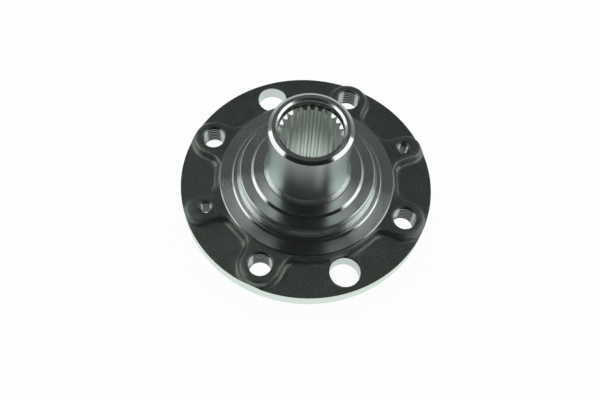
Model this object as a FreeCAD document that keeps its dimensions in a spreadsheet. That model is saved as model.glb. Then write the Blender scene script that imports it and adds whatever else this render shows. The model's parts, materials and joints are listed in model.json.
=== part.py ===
import FreeCAD, Part
import math
import os
import Sketcher

# One-piece driven wheel hub: a forging with a lobed flange, turned shoulders, a ground bearing nose
# and a splined bore. Millimetres, +Z along the axis towards the nose, z = 0 on the face that the
# brake disc bolts against, and +X through one of the two disc screw holes.

NODE = "hub_flange"

# Driving sizes. A rise is a height above the surface before it, going up towards the nose, and a
# width or margin is radial, out from the surface before it. The ones from the nose radius to the
# pitch circle add up to the 50 mm that a 100 mm bolt circle needs.
SIZES = {
    # bearing nose
    "nose_diameter": 37.0,
    "nose_length": 33.65,
    "nose_root_fillet": 2.5,
    "nose_lead_width": 1.6,
    "nose_lead_height": 1.1,
    # turned collar, boss, step and land, from the nose outwards and downwards
    "collar_width": 6.6,
    "collar_rise": 1.2,
    "boss_width": 6.2,
    "boss_rise": 5.5,
    "boss_cove": 2.4,
    "boss_chamfer": 0.25,
    "step_width": 3.4,
    "step_rise": 0.7,
    "land_width": 6.55,
    "land_rise": 0.9,
    "land_chamfer": 0.25,
    # forged pad with raised lobes round the tapped holes
    "ledge_width": 1.05,
    "lobe_rise": 3.8,
    "lobe_draft": 15.0,
    "lobe_blend": 5.5,
    "bolt_lobe_wall": 3.0,
    "screw_lobe_wall": 2.7,
    "lobe_edge_bevel": 0.7,
    "lobe_foot_bevel": 1.2,
    # pitch circle of all the holes, and the web outside it
    "pitch_margin": 7.7,
    "rim_margin": 9.8,
    "lobe_end_inset": 1.0,
    "web_thickness": 7.7,
    "rim_chamfer": 0.6,
    "forging_allowance": 4.0,
    # holes, a screw or access hole midway between two bolt holes
    "bolt_holes": 4,
    "bolt_tap_diameter": 10.5,
    "bolt_countersink": 0.95,
    "screw_holes": 2,
    "screw_tap_diameter": 5.0,
    "screw_countersink": 1.2,
    "access_holes": 2,
    "access_diameter": 14.0,
    "access_chamfer": 0.3,
    # bore at the nose end, from the nose's outside inwards
    "relief_wall": 3.95,
    "relief_depth": 5.2,
    "mouth_cone_width": 0.75,
    "mouth_cone_height": 1.2,
    "spline_shoulder": 0.15,
    "spline_depth": 1.25,
    "spline_teeth": 26,
    "spline_tip_width": 0.88,
    "spline_flank_angle": 30.0,
    "spline_clocking": 4.1,
    "spline_lead_height": 1.0,
    # outboard side: centring spigots for the disc and the wheel, and the nut recess inside them
    "disc_spigot_diameter": 61.0,
    "disc_spigot_length": 5.0,
    "spigot_step": 0.5,
    "spigot_length": 12.0,
    "spigot_chamfer": 1.0,
    "spigot_wall": 7.5,
    "recess_depth": 17.5,
    "recess_bevel": 1.5,
    # how far a cut runs past the surfaces that it opens
    "overrun": 1.0,
}

# Heights above the disc face, as formulas on the sizes.
LOBE_TOP = "(web_thickness + lobe_rise)"
LAND_TOP = "(%s + land_rise)" % LOBE_TOP
STEP_TOP = "(%s + step_rise)" % LAND_TOP
BOSS_TOP = "(%s + boss_rise)" % STEP_TOP
COLLAR_TOP = "(%s + collar_rise)" % BOSS_TOP
NOSE_TOP = "(%s + nose_length)" % COLLAR_TOP
RELIEF_FLOOR = "(%s - relief_depth)" % NOSE_TOP
RECESS_CEILING = "(recess_depth - spigot_length)"

# Radii from the nose out to the rim, then from the nose in to the spline, then of the spigots.
NOSE = "(nose_diameter / 2)"
COLLAR = "(%s + collar_width)" % NOSE
BOSS = "(%s + boss_width)" % COLLAR
STEP = "(%s + step_width)" % BOSS
LAND = "(%s + land_width)" % STEP
PAD = "(%s + ledge_width)" % LAND
PITCH = "(%s + pitch_margin)" % PAD
RIM = "(%s + rim_margin)" % PITCH
LOBE_END = "(%s - lobe_end_inset)" % RIM
RELIEF = "(%s - relief_wall)" % NOSE
MOUTH = "(%s + mouth_cone_width)" % RELIEF
SPLINE_ROOT = "(%s - spline_shoulder)" % RELIEF
SPLINE_TIP = "(%s - spline_depth)" % SPLINE_ROOT
DISC_SPIGOT = "(disc_spigot_diameter / 2)"
WHEEL_SPIGOT = "(%s - spigot_step)" % DISC_SPIGOT
RECESS = "(%s - spigot_wall)" % WHEEL_SPIGOT

# The forging stands past the rim and past the drafted foot of the lobes, so that the feet and
# their bevels are whole until the rim is turned.
FORGED = "(max(%s; %s + lobe_rise * tan(lobe_draft)) + forging_allowance)" % (RIM, LOBE_END)

# Edges count as flat at a height when both their ends of travel are this close to it.
FLAT_LIMIT = 1e-6

document = FreeCAD.newDocument("wheel_hub")
sheet = document.addObject("Spreadsheet::Sheet", "Sizes")
for row, (alias, value) in enumerate(SIZES.items(), start=1):
    sheet.set("A%d" % row, alias.replace("_", " "))
    sheet.set("B%d" % row, str(value))
    sheet.setAlias("B%d" % row, alias)
document.recompute()

body = document.addObject("PartDesign::Body", "Body")
body.Label = NODE
origin = {feature.Role: feature for feature in body.Origin.OriginFeatures}


def on_sheet(formula):
    """A formula on the size names, rewritten as an expression on the sheet's cells."""
    text = ""
    word = ""
    for letter in formula + " ":
        if letter.isalnum() or letter == "_":
            word += letter
            continue
        text += ("Sizes." + word if word in SIZES else word) + letter
        word = ""
    return text.strip()


def value_of(formula):
    """The number that a formula on the size names gives."""
    return float(sheet.evalExpression(on_sheet(formula)))


def arc_between(start, stop, bend):
    """The arc of radius |bend| from start to stop, turning left for a positive bend."""
    chord = stop - start
    left = FreeCAD.Vector(-chord.y, chord.x, 0).normalize()
    rise = math.sqrt(bend * bend - chord.Length * chord.Length / 4)
    centre = (start + stop) * 0.5 + left * math.copysign(rise, bend)
    first, last = (start, stop) if bend > 0 else (stop, start)
    angles = [math.atan2(end.y - centre.y, end.x - centre.x) for end in (first, last)]
    return Part.ArcOfCircle(Part.Circle(centre, FreeCAD.Vector(0, 0, 1), abs(bend)), *angles)


def hold(sketch, kind, formula, *elements):
    """Add a dimension to a sketch and bind it to its formula."""
    number = sketch.addConstraint(Sketcher.Constraint(kind, *elements, value_of(formula)))
    sketch.setExpression("Constraints[%d]" % number, on_sheet(formula))


def outline(name, plane, corners, turn="0", lift="0"):
    """A closed sketch whose corners and radii are all bound to the sizes.

    A corner is (x, y) before a straight side, or (x, y, radius) before an arc, and the radius
    has a minus sign where the outline, followed anticlockwise, turns right. turn swings the
    sketch about the hub's axis and lift raises it along the axis.
    """
    flat = plane == "XY_Plane"
    sketch = body.newObject("Sketcher::SketchObject", name)
    sketch.AttachmentSupport = [(origin[plane], "")]
    sketch.MapMode = "FlatFace"
    axis = FreeCAD.Vector(0, 0, 1) if flat else FreeCAD.Vector(0, 1, 0)
    swing = FreeCAD.Rotation(axis, value_of(turn))
    sketch.AttachmentOffset = FreeCAD.Placement(axis * value_of(lift), swing)
    sketch.setExpression("AttachmentOffset.Rotation.Angle", on_sheet(turn))
    if flat:
        sketch.setExpression("AttachmentOffset.Base.z", on_sheet(lift))
    points = [FreeCAD.Vector(value_of(corner[0]), value_of(corner[1]), 0) for corner in corners]
    sides = []
    for index, corner in enumerate(corners):
        start = points[index]
        stop = points[(index + 1) % len(points)]
        if len(corner) == 2:
            sketch.addGeometry(Part.LineSegment(start, stop), False)
            sides.append((1, 2))
        else:
            bend = value_of(corner[2])
            sketch.addGeometry(arc_between(start, stop, bend), False)
            sides.append((1, 2) if bend > 0 else (2, 1))
    for index in range(len(corners)):
        after = (index + 1) % len(corners)
        ends = (index, sides[index][1], after, sides[after][0])
        sketch.addConstraint(Sketcher.Constraint("Coincident", *ends))
    for index, corner in enumerate(corners):
        hold(sketch, "DistanceX", corner[0], index, sides[index][0])
        hold(sketch, "DistanceY", corner[1], index, sides[index][0])
        if len(corner) == 3:
            hold(sketch, "Radius", corner[2].lstrip("-"), index)
    return sketch


def turned(kind, name, corners, turn="0", centre=None):
    """A Revolution or Groove of an outline in radius and height.

    It turns about the hub's axis, or about the line parallel to it at the radius centre.
    """
    sketch = outline(name + "Outline", "XZ_Plane", corners, turn)
    axis = "V_Axis"
    if centre is not None:
        foot = FreeCAD.Vector(value_of(centre), 0, 0)
        head = foot + FreeCAD.Vector(0, value_of("web_thickness"), 0)
        line = sketch.addGeometry(Part.LineSegment(foot, head), True)
        sketch.addConstraint(Sketcher.Constraint("Vertical", line))
        hold(sketch, "DistanceX", centre, line, 1)
        hold(sketch, "DistanceY", "0", line, 1)
        hold(sketch, "DistanceY", "web_thickness", line, 2)
        axis = "Axis0"
    feature = body.newObject("PartDesign::" + kind, name)
    feature.Profile = sketch
    feature.ReferenceAxis = (sketch, [axis])
    feature.Angle = 360.0
    document.recompute()
    return feature


def repeated(feature, name, count):
    """Repeat a feature evenly about the hub's axis."""
    pattern = body.newObject("PartDesign::PolarPattern", name)
    pattern.Originals = [feature]
    pattern.Axis = (origin["Z_Axis"], [""])
    pattern.Angle = 360.0
    pattern.setExpression("Occurrences", on_sheet(count))
    body.Tip = pattern
    document.recompute()
    return pattern


def turn_blank():
    """The solid forging, turned outside: spigots, web, shoulders and nose. The web is oversize."""
    return turned("Revolution", "Blank", [
        # spigots, then the disc face
        ("0", "-spigot_length"),
        (WHEEL_SPIGOT + " - spigot_chamfer", "-spigot_length"),
        (WHEEL_SPIGOT, "spigot_chamfer - spigot_length"),
        (WHEEL_SPIGOT, "-disc_spigot_length"),
        (DISC_SPIGOT, "-disc_spigot_length"),
        (DISC_SPIGOT, "0"),
        (FORGED, "0"),
        (FORGED, "web_thickness"),
        # land, step, boss and collar
        (LAND, "web_thickness"),
        (LAND, LAND_TOP + " - land_chamfer"),
        (LAND + " - land_chamfer", LAND_TOP),
        (STEP + " + step_rise", LAND_TOP),
        (STEP, STEP_TOP),
        (BOSS + " + boss_cove", STEP_TOP, "-boss_cove"),
        (BOSS, STEP_TOP + " + boss_cove"),
        (BOSS, BOSS_TOP + " - boss_chamfer"),
        (BOSS + " - boss_chamfer", BOSS_TOP),
        (COLLAR + " + collar_rise", BOSS_TOP),
        (COLLAR, COLLAR_TOP),
        # bearing nose
        (NOSE + " + nose_root_fillet", COLLAR_TOP, "-nose_root_fillet"),
        (NOSE, COLLAR_TOP + " + nose_root_fillet"),
        (NOSE, NOSE_TOP + " - nose_lead_height"),
        (NOSE + " - nose_lead_width", NOSE_TOP),
        ("0", NOSE_TOP),
    ])


def swung(across, along, angle):
    """A point given along and across a lobe that stands at an angle about the axis."""
    x = "%s * cos(%s) - (%s) * sin(%s)" % (along, angle, across, angle)
    y = "%s * sin(%s) + (%s) * cos(%s)" % (along, angle, across, angle)
    return x, y


def lobe_corners(side, angle):
    """One lobe at its top: root blend, flank, rounded end, flank, root blend, arc of the pad.

    side is half the lobe's width. The centre of a root blend lies one blend radius outside both
    the pad's circle and the flank.
    """
    blend_along = "sqrt((%s + lobe_blend)^2 - (%s + lobe_blend)^2)" % (PAD, side)
    share = "(%s / (%s + lobe_blend))" % (PAD, PAD)
    root_along = "(%s * %s)" % (share, blend_along)
    root_side = "(%s * (%s + lobe_blend))" % (share, side)
    end_along = "(%s - %s)" % (LOBE_END, side)
    return [
        swung("-" + root_side, root_along, angle) + ("-lobe_blend",),
        swung("-" + side, blend_along, angle),
        swung("-" + side, end_along, angle) + (side,),
        swung("0", LOBE_END, angle) + (side,),
        swung(side, end_along, angle),
        swung(side, blend_along, angle) + ("-lobe_blend",),
        swung(root_side, root_along, angle) + (PAD,),
    ]


def raise_lobes():
    """The lobed pad, drawn at its top and drafted outwards down to the web."""
    bolt_side = "(bolt_tap_diameter / 2 + bolt_countersink + bolt_lobe_wall)"
    screw_side = "(screw_tap_diameter / 2 + screw_countersink + screw_lobe_wall)"
    gaps_per_screw = SIZES["bolt_holes"] // SIZES["screw_holes"]
    corners = []
    for index in range(SIZES["bolt_holes"]):
        if index % gaps_per_screw == 0:
            corners += lobe_corners(screw_side, "(%d * 360 / bolt_holes)" % index)
        corners += lobe_corners(bolt_side, "(%d * 180 / bolt_holes)" % (2 * index + 1))
    pad = body.newObject("PartDesign::Pad", "Lobes")
    pad.Profile = outline("LobeOutline", "XY_Plane", corners, lift=LOBE_TOP)
    pad.Reversed = True
    pad.setExpression("Length", on_sheet("lobe_rise"))
    pad.setExpression("TaperAngle", on_sheet("lobe_draft"))
    document.recompute()
    return pad


def bevel_edges(name, base, height, width):
    """Bevel the lobes' edges at a height: those between the turned land and the oversize rim."""
    level = value_of(height)
    inside = value_of(LAND) + FLAT_LIMIT
    outside = value_of(FORGED) - FLAT_LIMIT
    chosen = []
    for number, edge in enumerate(base.Shape.Edges, start=1):
        box = edge.BoundBox
        reach = max(math.hypot(vertex.X, vertex.Y) for vertex in edge.Vertexes)
        flat = abs(box.ZMin - level) < FLAT_LIMIT and abs(box.ZMax - level) < FLAT_LIMIT
        if flat and inside < reach < outside:
            chosen.append("Edge%d" % number)
    bevel = body.newObject("PartDesign::Chamfer", name)
    bevel.Base = (base, chosen)
    bevel.setExpression("Size", on_sheet(width))
    document.recompute()
    return bevel


def bevel_lobes(lobes):
    """The forged edges: a bevel round the foot of the lobes and a smaller one along the top."""
    foot = bevel_edges("LobeFoot", lobes, "web_thickness", "lobe_foot_bevel")
    return bevel_edges("LobeEdge", foot, LOBE_TOP, "lobe_edge_bevel")


def turn_rim():
    """Turn the web and the lobe ends to one diameter, with a chamfer at the disc face."""
    outside = FORGED + " + overrun"
    return turned("Groove", "Rim", [
        (RIM + " - rim_chamfer - overrun", "-overrun"),
        (outside, "-overrun"),
        (outside, LOBE_TOP + " + overrun"),
        (RIM, LOBE_TOP + " + overrun"),
        (RIM, "rim_chamfer"),
    ])


def bore_hub():
    """The through bore: mouth cone, relief, smooth spline core, and nut recess outboard."""
    return turned("Groove", "Bore", [
        ("0", "-spigot_length - overrun"),
        (RECESS + " + spigot_chamfer + overrun", "-spigot_length - overrun"),
        (RECESS, "spigot_chamfer - spigot_length"),
        (RECESS, RECESS_CEILING + " - recess_bevel"),
        (RECESS + " - recess_bevel", RECESS_CEILING),
        (SPLINE_ROOT, RECESS_CEILING),
        (SPLINE_TIP, RECESS_CEILING + " + spline_lead_height"),
        (SPLINE_TIP, RELIEF_FLOOR + " - spline_lead_height"),
        (SPLINE_ROOT, RELIEF_FLOOR),
        (RELIEF, RELIEF_FLOOR),
        (RELIEF, NOSE_TOP + " - mouth_cone_height"),
        (MOUTH, NOSE_TOP),
        (MOUTH, NOSE_TOP + " + overrun"),
        ("0", NOSE_TOP + " + overrun"),
    ])


def cut_splines():
    """The gaps between the teeth, whose straight flanks close in towards the rounded root."""
    gap_side = "((2 * pi * %s / spline_teeth - spline_tip_width) / 2)" % SPLINE_TIP
    inner_side = "(%s + overrun * tan(spline_flank_angle))" % gap_side
    root_side = "(%s - spline_depth * tan(spline_flank_angle))" % gap_side
    root_along = "sqrt(%s^2 - %s^2)" % (SPLINE_ROOT, root_side)
    gap = body.newObject("PartDesign::Pocket", "SplineGap")
    gap.Profile = outline("SplineGapOutline", "XY_Plane", [
        (SPLINE_TIP + " - overrun", "-" + inner_side),
        (root_along, "-" + root_side, SPLINE_ROOT),
        (root_along, root_side),
        (SPLINE_TIP + " - overrun", inner_side),
    ], turn="spline_clocking", lift=RECESS_CEILING)
    gap.Reversed = True
    gap.setExpression("Length", on_sheet("%s - %s" % (RELIEF_FLOOR, RECESS_CEILING)))
    document.recompute()
    return repeated(gap, "Splines", "spline_teeth")


def drill(name, diameter, countersink, top, angle, count):
    """Holes parallel to the axis, with a 45 degree countersink at both ends."""
    edge = "(%s + %s / 2)" % (PITCH, diameter)
    hole = turned("Groove", name, [
        (PITCH, "-overrun"),
        ("%s + %s + overrun" % (edge, countersink), "-overrun"),
        (edge, countersink),
        (edge, "%s - %s" % (top, countersink)),
        ("%s + %s + overrun" % (edge, countersink), top + " + overrun"),
        (PITCH, top + " + overrun"),
    ], angle, PITCH)
    return repeated(hole, name + "s", count)


turn_blank()
bevel_lobes(raise_lobes())
turn_rim()
bore_hub()
cut_splines()
drill("BoltHole", "bolt_tap_diameter", "bolt_countersink", LOBE_TOP, "180 / bolt_holes", "bolt_holes")
drill("ScrewHole", "screw_tap_diameter", "screw_countersink", LOBE_TOP, "0", "screw_holes")
drill("AccessHole", "access_diameter", "access_chamfer", "web_thickness", "90", "access_holes")

failed = []
before = None
for feature in body.Group:
    if {"Invalid", "Error"} & set(feature.State):
        failed.append(feature.Name)
    if feature.isDerivedFrom("PartDesign::Feature") and not feature.Shape.isNull():
        if feature.Shape.Solids and feature.Shape.Volume == before:
            failed.append(feature.Name + " changes nothing")
        before = feature.Shape.Volume
shape = body.Shape
if failed or shape.isNull() or not shape.isValid() or len(shape.Solids) != 1:
    raise SystemExit("the model did not build: " + ", ".join(failed))

os.makedirs("parts", exist_ok=True)
shape.exportStep("parts/%s.step" % NODE)
print(NODE, "volume %.1f mm3," % shape.Volume, len(shape.Faces), "faces")
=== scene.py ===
import json
import math
import bpy
from mathutils import Matrix, Vector

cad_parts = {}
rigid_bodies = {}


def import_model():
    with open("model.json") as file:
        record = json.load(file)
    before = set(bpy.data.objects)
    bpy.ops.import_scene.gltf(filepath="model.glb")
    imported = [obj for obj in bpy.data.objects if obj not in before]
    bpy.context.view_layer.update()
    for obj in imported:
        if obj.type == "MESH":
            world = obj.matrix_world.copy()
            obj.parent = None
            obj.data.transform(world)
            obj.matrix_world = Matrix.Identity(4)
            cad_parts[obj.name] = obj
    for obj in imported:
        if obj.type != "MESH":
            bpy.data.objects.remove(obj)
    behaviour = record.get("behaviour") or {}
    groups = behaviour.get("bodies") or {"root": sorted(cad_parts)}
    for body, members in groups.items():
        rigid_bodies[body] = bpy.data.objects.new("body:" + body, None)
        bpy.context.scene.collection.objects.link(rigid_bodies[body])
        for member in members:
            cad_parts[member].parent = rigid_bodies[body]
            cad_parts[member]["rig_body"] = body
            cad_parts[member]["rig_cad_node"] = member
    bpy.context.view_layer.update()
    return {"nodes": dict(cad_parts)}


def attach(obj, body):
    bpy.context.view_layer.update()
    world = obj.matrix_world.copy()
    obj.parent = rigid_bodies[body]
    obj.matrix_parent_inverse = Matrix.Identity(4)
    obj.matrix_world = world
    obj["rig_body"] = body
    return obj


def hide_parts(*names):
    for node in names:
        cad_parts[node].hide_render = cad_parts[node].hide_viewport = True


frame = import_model()
hubNode = frame["nodes"]["hub_flange"]
mm = 0.001  # lengths below are written in millimetres and scaled by this
print("frame loaded")


# shader maths: a wrapped socket that takes part in ordinary expressions
class Wire:
    def __init__(self, tree, socket=None):
        self.tree = tree
        self.socket = socket

    def add(self, kind, settings=None, sockets=None, output=0):
        node = self.tree.nodes.new(kind)
        for name, value in (settings or {}).items():
            if name == "stops":
                ramp = node.color_ramp
                while len(ramp.elements) < len(value):
                    ramp.elements.new(0.5)
                for element, (place, level) in zip(ramp.elements, value):
                    element.position = place
                    element.color = (level, level, level, 1)
            else:
                setattr(node, name, value)
        for name, value in (sockets or {}).items():
            if isinstance(value, Wire):
                self.tree.links.new(value.socket, node.inputs[name])
            else:
                node.inputs[name].default_value = value
        return Wire(self.tree, node.outputs[output])

    def maths(self, operation, *values):
        return self.add("ShaderNodeMath", {"operation": operation}, dict(enumerate(values)))

    def __add__(self, other):
        return self.maths("ADD", self, other)

    def __radd__(self, other):
        return self.maths("ADD", other, self)

    def __sub__(self, other):
        return self.maths("SUBTRACT", self, other)

    def __rsub__(self, other):
        return self.maths("SUBTRACT", other, self)

    def __mul__(self, other):
        return self.maths("MULTIPLY", self, other)

    def __rmul__(self, other):
        return self.maths("MULTIPLY", other, self)

    def __truediv__(self, other):
        return self.maths("DIVIDE", self, other)

    def __gt__(self, other):
        return self.maths("GREATER_THAN", self, other)

    def __lt__(self, other):
        return self.maths("LESS_THAN", self, other)

    def __abs__(self):
        return self.maths("ABSOLUTE", self)


def larger(first, second):
    return first.maths("MAXIMUM", first, second)


def fraction(value):
    return value.maths("FRACT", value)


def flatLength(x, y):
    squared = x * x + y * y
    return squared.maths("SQRT", squared)


def part(vector, axis):
    return vector.add("ShaderNodeSeparateXYZ", None, {"Vector": vector}, output=axis)


def soft(value, low, high):  # 0 below low, 1 above high
    return value.add("ShaderNodeMapRange", {"interpolation_type": "SMOOTHSTEP"},
                     {"Value": value, "From Min": low, "From Max": high})


def blendColours(share, first, second):
    return share.add("ShaderNodeMix", {"data_type": "RGBA"},
                     {"Factor": share, "A": first, "B": second}, output="Result")


hubLook = {
    # the solid's own radii and heights, where one finish ends and the next starts
    "webTop": 7.7, "lobeTop": 11.5, "landRadius": 41.25, "rimRadius": 59.8, "pitchRadius": 50.0,
    "boltMouth": 6.2, "screwMouth": 3.7, "accessHole": 7.0, "accessBevel": 0.3,
    "coveFoot": 13.12, "coveReach": 33.8, "coneLow": 15.6, "coneHigh": 19.75,
    "noseRadius": 18.5, "noseFoot": 22.3, "noseTop": 52.35,
    "boreRadius": 15.25, "reliefLow": 48.3, "reliefHigh": 52.2,
    # how far a finish stays clear of those, or reaches past them
    "topSlack": 0.02, "landSlack": 0.05, "tapSlack": 0.03, "accessSlack": 0.02, "noseSlack": 0.05,
    "skinDepth": 0.32, "mouthDepth": 1.0, "rimDepth": 0.3,
    # the upward part of the normal, from 0 on a wall to 1 on a level face
    "wallBelow": 0.1, "rimBelow": 0.24, "levelAbove": 0.97, "flatFrom": 0.985, "flatFull": 0.999,
    # forged skin
    "forgedColour": (0.005, 0.0085, 0.0058, 1), "forgedPale": (0.062, 0.070, 0.060, 1),
    "forgedRoughness": 0.30, "forgedIndex": 2.38, "forgedTint": (0.86, 1.0, 0.90, 1),
    "grainScale": 1.3, "grainDetail": 5.0, "grainRoughness": 0.7, "grainShare": 0.92,
    "cloudScale": 0.16, "cloudDetail": 3.0, "cloudShare": 0.12, "paleFrom": 0.50, "paleFull": 0.68,
    "bumpStrength": 0.8, "bumpHeight": 0.3,
    # machined steel
    "steelColour": (0.62, 0.67, 0.66, 1), "steelRoughness": 0.13,
    "rimColour": (0.75, 0.785, 0.77, 1),
    "noseColour": (0.74, 0.79, 0.775, 1), "noseRoughness": 0.29,
    "coveRoughness": 0.18,
    "tappedColour": (0.34, 0.37, 0.355, 1), "tappedRoughness": 0.18,
    "splineColour": (0.86, 0.90, 0.87, 1), "splineRoughness": 0.24,
    # painted shade: the relief groove at the bore's mouth is coloured dark for the shade that falls
    # into it
    "reliefPaintedShade": (0.14, 0.155, 0.145, 1),
    # turning grooves: how far apart, and how much their sides lean
    "groovePitch": 0.27, "wallSlope": 0.06, "noseSlope": 0.22, "coveSlope": 0.60, "faceSlope": 0.42,
    "wanderScale": 1.3, "wanderDetail": 3.0, "waviness": 0.06,
}
boltCentre = hubLook["pitchRadius"] * math.sqrt(0.5)  # the bolt holes stand at 45 degrees


def makeHubMaterial():
    look = hubLook
    material = bpy.data.materials.new("forgedAndTurnedSteel")
    material.use_nodes = True
    tree = material.node_tree
    shader = tree.nodes["Principled BSDF"]
    nodes = Wire(tree)
    place = nodes.add("ShaderNodeTexCoord", output="Object")
    scaled = nodes.add("ShaderNodeVectorMath", {"operation": "SCALE"},
                       {"Vector": place, "Scale": 1 / mm})
    x, y, z = (part(scaled, axis) for axis in "XYZ")
    radius = flatLength(x, y)
    normal = nodes.add("ShaderNodeNewGeometry", output="Normal")
    up = part(normal, "Z")

    # where the forging was left as it came from the die
    inHeight = (z > look["webTop"] - look["skinDepth"]) * (z < look["lobeTop"] + look["topSlack"])
    outside = radius > look["landRadius"] + look["landSlack"]
    turnedRim = (radius > look["rimRadius"] - look["rimDepth"]) * (abs(up) < look["rimBelow"])
    boltDistance = flatLength(abs(x) - boltCentre, abs(y) - boltCentre)
    screwDistance = flatLength(abs(x) - look["pitchRadius"], y)
    accessDistance = flatLength(x, abs(y) - look["pitchRadius"])
    clearOfTaps = ((boltDistance > look["boltMouth"] + look["tapSlack"])
                   * (screwDistance > look["screwMouth"] + look["tapSlack"]))
    clearOfHoles = clearOfTaps * (accessDistance > look["accessHole"] + look["accessSlack"])
    level = up > look["levelAbove"]
    tapMouth = z > look["lobeTop"] - look["mouthDepth"]
    skin = larger(clearOfHoles, larger(level, tapMouth))
    forged = inHeight * outside * skin * (1 - turnedRim)

    # the machined regions: threads, bore, ground nose and coves
    tapped = (1 - clearOfTaps) * outside * (1 - forged)
    splined = radius < look["boreRadius"]
    relief = splined * (z > look["reliefLow"]) * (z < look["reliefHigh"])
    aroundNose = (radius > look["noseRadius"] - look["noseSlack"]) * (z > look["coveFoot"])
    upright = aroundNose * (abs(up) < look["wallBelow"]) * (z < look["noseTop"])
    clearOfCones = 1 - (z > look["coneLow"]) * (z < look["coneHigh"])
    inCove = (aroundNose * (up > look["wallBelow"]) * (up < look["levelAbove"])
              * (radius < look["coveReach"]) * (z < look["noseFoot"]) * clearOfCones)

    # forged skin: fine mottling over broader cloudy patches
    grain = nodes.add("ShaderNodeTexNoise", None,
                      {"Vector": scaled, "Scale": look["grainScale"],
                       "Detail": look["grainDetail"], "Roughness": look["grainRoughness"]})
    clouds = nodes.add("ShaderNodeTexNoise", None,
                       {"Vector": scaled, "Scale": look["cloudScale"],
                        "Detail": look["cloudDetail"]})
    tone = soft(grain * look["grainShare"] + clouds * look["cloudShare"],
                look["paleFrom"], look["paleFull"])
    skinColour = blendColours(tone, look["forgedColour"], look["forgedPale"])
    bump = nodes.add("ShaderNodeBump", None,
                     {"Height": grain, "Strength": look["bumpStrength"],
                      "Distance": look["bumpHeight"] * mm})

    # turned surfaces: the tool leaves grooves that lean evenly from one side to the other
    run = z - radius
    groove = fraction(run / look["groovePitch"])
    wander = nodes.add("ShaderNodeTexNoise", {"noise_dimensions": "1D"},
                       {"W": run, "Scale": look["wanderScale"], "Detail": look["wanderDetail"]})
    onFace = soft(up, look["flatFrom"], look["flatFull"])
    lean = groove * 2 - 1
    slope = (lean * (look["wallSlope"] + upright * (look["noseSlope"] - look["wallSlope"])
                     + inCove * (look["coveSlope"] - look["wallSlope"]))
             + lean * abs(lean) * onFace * look["faceSlope"]
             + (wander - 0.5) * look["waviness"]) * clearOfHoles
    around = nodes.add("ShaderNodeCombineXYZ", None,
                       {"X": -1 * y / radius, "Y": x / radius, "Z": 0.0})
    across = nodes.add("ShaderNodeVectorMath", {"operation": "CROSS_PRODUCT"},
                       {0: normal, 1: around})
    tilt = nodes.add("ShaderNodeVectorMath", {"operation": "SCALE"},
                     {"Vector": across, "Scale": slope})
    tilted = nodes.add("ShaderNodeVectorMath", {"operation": "ADD"}, {0: normal, 1: tilt})
    turnedNormal = nodes.add("ShaderNodeVectorMath", {"operation": "NORMALIZE"}, {0: tilted})

    finalNormal = nodes.add("ShaderNodeMix", {"data_type": "VECTOR"},
                            {"Factor": forged, "A": turnedNormal, "B": bump}, output="Result")
    outerColour = blendColours(turnedRim, look["steelColour"], look["rimColour"])
    outerColour = blendColours(upright, outerColour, look["noseColour"])
    # the relief groove takes the painted shade colour in place of the bright spline colour
    boreColour = blendColours(relief, look["splineColour"], look["reliefPaintedShade"])
    turnedColour = blendColours(splined, outerColour, boreColour)
    metalColour = blendColours(tapped, turnedColour, look["tappedColour"])
    colour = blendColours(forged, metalColour, skinColour)
    roughness = look["steelRoughness"]
    for region, name in ((forged, "forgedRoughness"), (tapped, "tappedRoughness"),
                         (splined, "splineRoughness"), (upright, "noseRoughness"),
                         (inCove, "coveRoughness")):
        roughness = roughness + region * (look[name] - look["steelRoughness"])
    shader.inputs["IOR"].default_value = look["forgedIndex"]
    shader.inputs["Specular Tint"].default_value = look["forgedTint"]
    for name, wire in {"Base Color": colour, "Roughness": roughness, "Metallic": 1 - forged,
                       "Normal": finalNormal}.items():
        tree.links.new(wire.socket, shader.inputs[name])
    return material


def deselect():
    if bpy.context.object and bpy.context.object.mode != "OBJECT":
        bpy.ops.object.mode_set(mode="OBJECT")
    bpy.ops.object.select_all(action="DESELECT")


def pick(piece):
    deselect()
    piece.select_set(True)
    bpy.context.view_layer.objects.active = piece


# major and core are radii, and places are degrees round the pitch circle
threads = {
    "bolt": {"major": 6.0, "core": 5.12, "pitch": 1.5, "rootFlat": 0.19,
             "places": [45, 135, 225, 315]},
    "screw": {"major": 3.0, "core": 2.40, "pitch": 1.0, "rootFlat": 0.13, "places": [0, 180]},
    "flankAngle": 30, "overrun": 1.6, "stepsPerTurn": 40, "weld": 0.0001,
}


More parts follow.
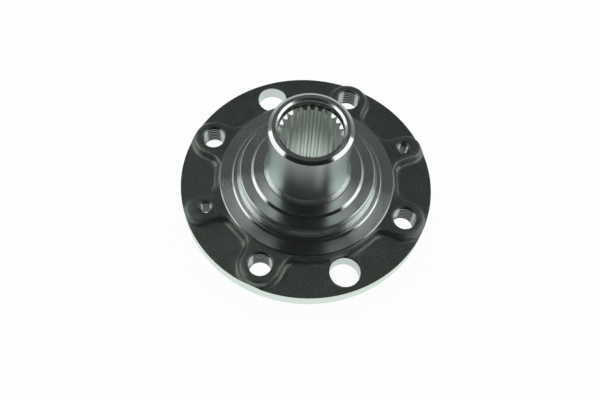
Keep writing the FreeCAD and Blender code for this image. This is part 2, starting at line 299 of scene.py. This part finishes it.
def makeThreadCutter(size, angle):  # a helical bar whose section is the gap between two threads
    rootHalf = size["rootFlat"] / 2
    flank = math.tan(math.radians(threads["flankAngle"])) * (size["major"] - size["core"])
    mouthHalf = rootHalf + flank
    deselect()
    bpy.ops.mesh.primitive_plane_add(size=1, location=(0, 0, 0))
    cutter = bpy.context.object
    cutter.name = "cutter"
    section = [(size["core"], -mouthHalf), (size["major"], -rootHalf),
               (size["core"], mouthHalf), (size["major"], rootHalf)]
    for vertex, (reach, height) in zip(cutter.data.vertices, section):
        vertex.co = (reach * mm, 0, height * mm)
    helix = cutter.modifiers.new("helix", "SCREW")
    helix.axis = "Z"
    helix.angle = math.tau
    helix.screw_offset = size["pitch"] * mm
    helix.iterations = math.ceil((hubLook["lobeTop"] + 2 * threads["overrun"]) / size["pitch"])
    helix.steps = threads["stepsPerTurn"]
    helix.render_steps = threads["stepsPerTurn"]
    helix.use_merge_vertices = False
    bpy.ops.object.modifier_apply(modifier="helix")
    pitchRadius, turn = hubLook["pitchRadius"] * mm, math.radians(angle)
    cutter.location = (pitchRadius * math.cos(turn), pitchRadius * math.sin(turn),
                       -threads["overrun"] * mm)
    bpy.ops.object.transform_apply(location=True, rotation=True, scale=True)
    # the bar's two open ends are closed
    bpy.ops.object.mode_set(mode="EDIT")
    bpy.ops.mesh.select_all(action="SELECT")
    bpy.ops.mesh.remove_doubles(threshold=threads["weld"] * mm)
    bpy.ops.mesh.select_all(action="DESELECT")
    bpy.ops.mesh.select_non_manifold(extend=False, use_wire=False, use_multi_face=False,
                                     use_non_contiguous=False, use_verts=False)
    bpy.ops.mesh.fill()
    bpy.ops.mesh.select_all(action="SELECT")
    bpy.ops.mesh.normals_make_consistent(inside=False)
    bpy.ops.object.mode_set(mode="OBJECT")
    return cutter


def cutThreads(hub):
    for kind in ("bolt", "screw"):
        for angle in threads[kind]["places"]:
            cutter = makeThreadCutter(threads[kind], angle)
            pick(hub)
            cut = hub.modifiers.new("thread", "BOOLEAN")
            cut.operation = "DIFFERENCE"
            cut.solver = "MANIFOLD"
            cut.object = cutter
            bpy.ops.object.modifier_apply(modifier="thread")
            print("thread cut", kind, angle, len(hub.data.polygons), "faces")
            bpy.data.objects.remove(cutter)


# radius and height of the cone's foot, in the solid and here
mouth = {"foot": (14.55, 52.25), "newFoot": (14.43, 52.55), "tolerance": 0.02}


def widenMouthCone(hub):  # its foot comes up and in a little, which makes it a 45 degree cone
    reach, height = mouth["foot"]
    newReach, newHeight = mouth["newFoot"]
    bpy.ops.object.mode_set(mode="EDIT")
    bpy.ops.mesh.select_mode(type="VERT")
    bpy.ops.mesh.select_all(action="DESELECT")
    bpy.ops.object.mode_set(mode="OBJECT")
    for vertex in hub.data.vertices:
        x, y, z = vertex.co / mm
        vertex.select = (abs(math.hypot(x, y) - reach) < mouth["tolerance"]
                         and abs(z - height) < mouth["tolerance"])
    print("mouth cone foot", sum(vertex.select for vertex in hub.data.vertices), "corners")
    bpy.ops.object.mode_set(mode="EDIT")
    share = newReach / reach
    bpy.ops.transform.resize(value=(share, share, 1), center_override=(0, 0, 0))
    bpy.ops.transform.translate(value=(0, 0, (newHeight - height) * mm))
    bpy.ops.object.mode_set(mode="OBJECT")


# forged edges may reach heightMargin past the skin's lowest and highest level, and keep the
# other margins from the land, the rim and the holes
hubMesh = {"weld": 0.001, "smoothAngle": 24,
           "heightMargin": 0.01, "landMargin": 0.1, "rimMargin": 0.02, "holeMargin": 0.03}


def onForgedSkin(point):
    look, mesh = hubLook, hubMesh
    reach = math.hypot(point.x, point.y)
    bolt = math.hypot(abs(point.x) - boltCentre, abs(point.y) - boltCentre) - look["boltMouth"]
    screw = math.hypot(abs(point.x) - look["pitchRadius"], point.y) - look["screwMouth"]
    access = (math.hypot(point.x, abs(point.y) - look["pitchRadius"])
              - look["accessHole"] - look["accessBevel"])
    margin = mesh["heightMargin"]
    return (look["webTop"] - margin < point.z < look["lobeTop"] + margin
            and look["landRadius"] + mesh["landMargin"] < reach
            and reach < look["rimRadius"] - mesh["rimMargin"]
            and min(bolt, screw, access) > mesh["holeMargin"])


def shadeHub(hub):
    pick(hub)
    bpy.ops.object.shade_smooth_by_angle(angle=math.radians(hubMesh["smoothAngle"]))
    # the forged edges are round: their bevels shade smoothly into the faces beside them
    bpy.ops.object.mode_set(mode="EDIT")
    bpy.ops.mesh.select_mode(type="EDGE")
    bpy.ops.mesh.select_all(action="DESELECT")
    bpy.ops.object.mode_set(mode="OBJECT")
    corners = hub.data.vertices
    for edge in hub.data.edges:
        edge.select = all(onForgedSkin(corners[corner].co / mm) for corner in edge.vertices)
    bpy.ops.object.mode_set(mode="EDIT")
    bpy.ops.mesh.mark_sharp(clear=True)
    bpy.ops.object.mode_set(mode="OBJECT")
    weighted = hub.modifiers.new("weightedNormal", "WEIGHTED_NORMAL")
    weighted.mode = "FACE_AREA_WITH_ANGLE"
    weighted.keep_sharp = True
    bpy.ops.object.modifier_apply(modifier="weightedNormal")


def makeHub():  # a merged copy of the solid's mesh, with threads cut and its finishes on
    pick(hubNode)
    bpy.ops.object.duplicate()
    hub = bpy.context.object
    hub.name = "hubForging"
    hub.parent = None
    for key in ("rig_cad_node", "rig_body"):  # the copy is no CAD node
        del hub[key]
    bpy.ops.object.mode_set(mode="EDIT")
    bpy.ops.mesh.select_all(action="SELECT")
    bpy.ops.mesh.remove_doubles(threshold=hubMesh["weld"] * mm)
    bpy.ops.mesh.customdata_custom_splitnormals_clear()
    bpy.ops.object.mode_set(mode="OBJECT")
    widenMouthCone(hub)
    cutThreads(hub)
    shadeHub(hub)
    hub.data.materials.clear()
    hub.data.materials.append(makeHubMaterial())
    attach(hub, "root")
    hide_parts("hub_flange")
    return hub


hub = makeHub()
print("hub made", len(hub.data.polygons), "faces")

# the photograph's viewpoint: heading is turned from +Y, down is the dip below the horizon
view = {
    "place": (-72.85, -156.23, 309.7), "heading": -24.223, "down": 61.864, "roll": 4.757,
    "lens": 43.532, "sensor": 36, "nearest": 10,
}

stage = {
    "white": (1, 1, 1, 1), "matt": (0.80, 0.80, 0.80, 1),
    "floorHeight": -12.02, "floorSize": 6000.0, "floorReach": 400.0, "floorShare": 0.96,
    # how bright the floor looks in a reflection, at shares of its reach out from the axis:
    # inside the bore, under the flange, then the open floor; the dark steps under the flange are a
    # painted shadow of the hub, the brighter step inside the bore is painted light falling in
    # through it, and the brightest open floor round the hub is a painted pool of light
    "floorSteps": [(0.0, 0.76), (0.0175, 0.60), (0.0325, 0.32), (0.0425, 0.14), (0.06, 0.03),
                   (0.09, 0.85), (0.22, 1.0), (0.42, 0.64), (1.0, 0.62)],
    "backdropRadius": 900.0, "backdropHeight": 1000.0, "backdropSides": 96,
    "backdropSpread": 74.0, "backdropShare": 1.0,
    # the same for the backdrop, at shares of its height
    "backdropSteps": [(0.0, 0.80), (0.07, 0.72), (0.15, 0.30), (0.36, 0.28), (0.60, 0.06),
                      (1.0, 0.05)],
}


def ray(nodes, kind):
    return nodes.add("ShaderNodeLightPath", output="Is " + kind + " Ray")


# white to the camera and in steps of grey to the metal, for the stated share of what they see;
# the rest, and all that other light meets, is a plain matt surface
def finishStage(piece, name, measure):
    bpy.ops.object.transform_apply(location=True, rotation=True, scale=True)
    piece.name = name
    material = bpy.data.materials.new(name)
    material.use_nodes = True
    tree = material.node_tree
    tree.nodes.clear()
    nodes = Wire(tree)
    camera = ray(nodes, "Camera")
    seen = larger(camera, larger(ray(nodes, "Glossy"), ray(nodes, "Transmission")))
    place = nodes.add("ShaderNodeTexCoord", output="Object")
    grey = nodes.add("ShaderNodeValToRGB", {"stops": stage[name + "Steps"]},
                     {"Fac": measure(place)})
    shown = blendColours(camera, grey, stage["white"])
    glow = nodes.add("ShaderNodeEmission", None, {"Color": shown})
    matt = nodes.add("ShaderNodeBsdfDiffuse", None, {"Color": stage["matt"]})
    both = nodes.add("ShaderNodeMixShader", None,
                     {"Fac": seen * stage[name + "Share"], 1: matt, 2: glow})
    output = tree.nodes.new("ShaderNodeOutputMaterial")
    tree.links.new(both.socket, output.inputs["Surface"])
    piece.data.materials.append(material)


def makeFloor():
    deselect()
    bpy.ops.mesh.primitive_plane_add(size=stage["floorSize"] * mm,
                                     location=(0, 0, stage["floorHeight"] * mm))

    def outward(place):
        return flatLength(part(place, "X"), part(place, "Y")) / (stage["floorReach"] * mm)

    finishStage(bpy.context.object, "floor", outward)


def makeBackdrop():  # the far part of a tall cylinder, behind the hub as the camera sees it
    deselect()
    radius, height = stage["backdropRadius"] * mm, stage["backdropHeight"] * mm
    bpy.ops.mesh.primitive_cylinder_add(
        vertices=stage["backdropSides"], radius=radius, depth=height, end_fill_type="NOTHING",
        location=(0, 0, stage["floorHeight"] * mm + height / 2))
    back = bpy.context.object
    heading = math.radians(view["heading"])
    ahead = Vector((-math.sin(heading), math.cos(heading), 0))
    bpy.ops.object.mode_set(mode="EDIT")
    bpy.ops.mesh.select_all(action="SELECT")
    bpy.ops.mesh.bisect(plane_co=ahead * radius * math.cos(math.radians(stage["backdropSpread"])),
                        plane_no=ahead, clear_inner=True)
    bpy.ops.object.mode_set(mode="OBJECT")

    def upward(place):
        return (part(place, "Z") - stage["floorHeight"] * mm) / height

    finishStage(back, "backdrop", upward)


makeFloor()
makeBackdrop()
print("floor and backdrop made")

# turns are counted leftwards from the direction that the camera looks in
lamps = {
    "left": {"turn": 92, "elevation": 29, "distance": 600, "shape": "ELLIPSE",
             "size": (530, 740), "power": 1.36},
    "right": {"turn": -92, "elevation": 29, "distance": 600, "shape": "ELLIPSE",
              "size": (530, 740), "power": 1.36},
    "ceiling": {"turn": 0, "elevation": 46, "distance": 800, "shape": "RECTANGLE",
                "size": (1100, 480), "power": 0.16},
    "top": {"turn": 0, "elevation": 89, "distance": 800, "shape": "RECTANGLE",
            "size": (700, 700), "power": 2.4, "glossy": False},
}


def makeLamps():
    for name, lampLook in lamps.items():
        light = bpy.data.lights.new(name, "AREA")
        light.shape = lampLook["shape"]
        light.size, light.size_y = (side * mm for side in lampLook["size"])
        light.energy = lampLook["power"]
        lamp = bpy.data.objects.new(name, light)
        bpy.context.scene.collection.objects.link(lamp)
        turn = math.radians(lampLook["turn"] + 90 + view["heading"])
        rise = math.radians(lampLook["elevation"])
        away = Vector((math.cos(turn) * math.cos(rise), math.sin(turn) * math.cos(rise),
                       math.sin(rise)))
        lamp.location = away * lampLook["distance"] * mm
        lamp.rotation_euler = (-away).to_track_quat("-Z", "Y").to_euler()
        lamp.visible_glossy = lampLook.get("glossy", True)
        lamp.visible_camera = False


makeLamps()

# fill lights the hub from all round, mirrored is what metal shows of the room
room = {"fill": (0.20, 0.20, 0.20, 1), "mirrored": (0.02, 0.02, 0.02, 1),
        "seen": (0.99, 0.99, 0.99, 1)}


def makeRoom():
    world = bpy.data.worlds.new("studio")
    bpy.context.scene.world = world
    world.use_nodes = True
    tree = world.node_tree
    tree.nodes.clear()
    nodes = Wire(tree)
    unseen = blendColours(ray(nodes, "Glossy"), room["fill"], room["mirrored"])
    colour = blendColours(ray(nodes, "Camera"), unseen, room["seen"])
    background = nodes.add("ShaderNodeBackground", None, {"Color": colour, "Strength": 1.0})
    output = tree.nodes.new("ShaderNodeOutputWorld")
    tree.links.new(background.socket, output.inputs["Surface"])


makeRoom()


def makeCamera():
    data = bpy.data.cameras.new("photoView")
    data.sensor_width = view["sensor"]
    data.lens = view["lens"]
    data.clip_start = view["nearest"] * mm
    camera = bpy.data.objects.new("photoView", data)
    bpy.context.scene.collection.objects.link(camera)
    turn = (Matrix.Rotation(math.radians(view["heading"]), 4, "Z")
            @ Matrix.Rotation(math.radians(90 - view["down"]), 4, "X")
            @ Matrix.Rotation(math.radians(view["roll"]), 4, "Z"))
    camera.matrix_world = Matrix.Translation(Vector(view["place"]) * mm) @ turn
    bpy.context.scene.camera = camera


makeCamera()
bpy.context.scene.view_settings.view_transform = "Standard"

print("lamps, room and camera made")
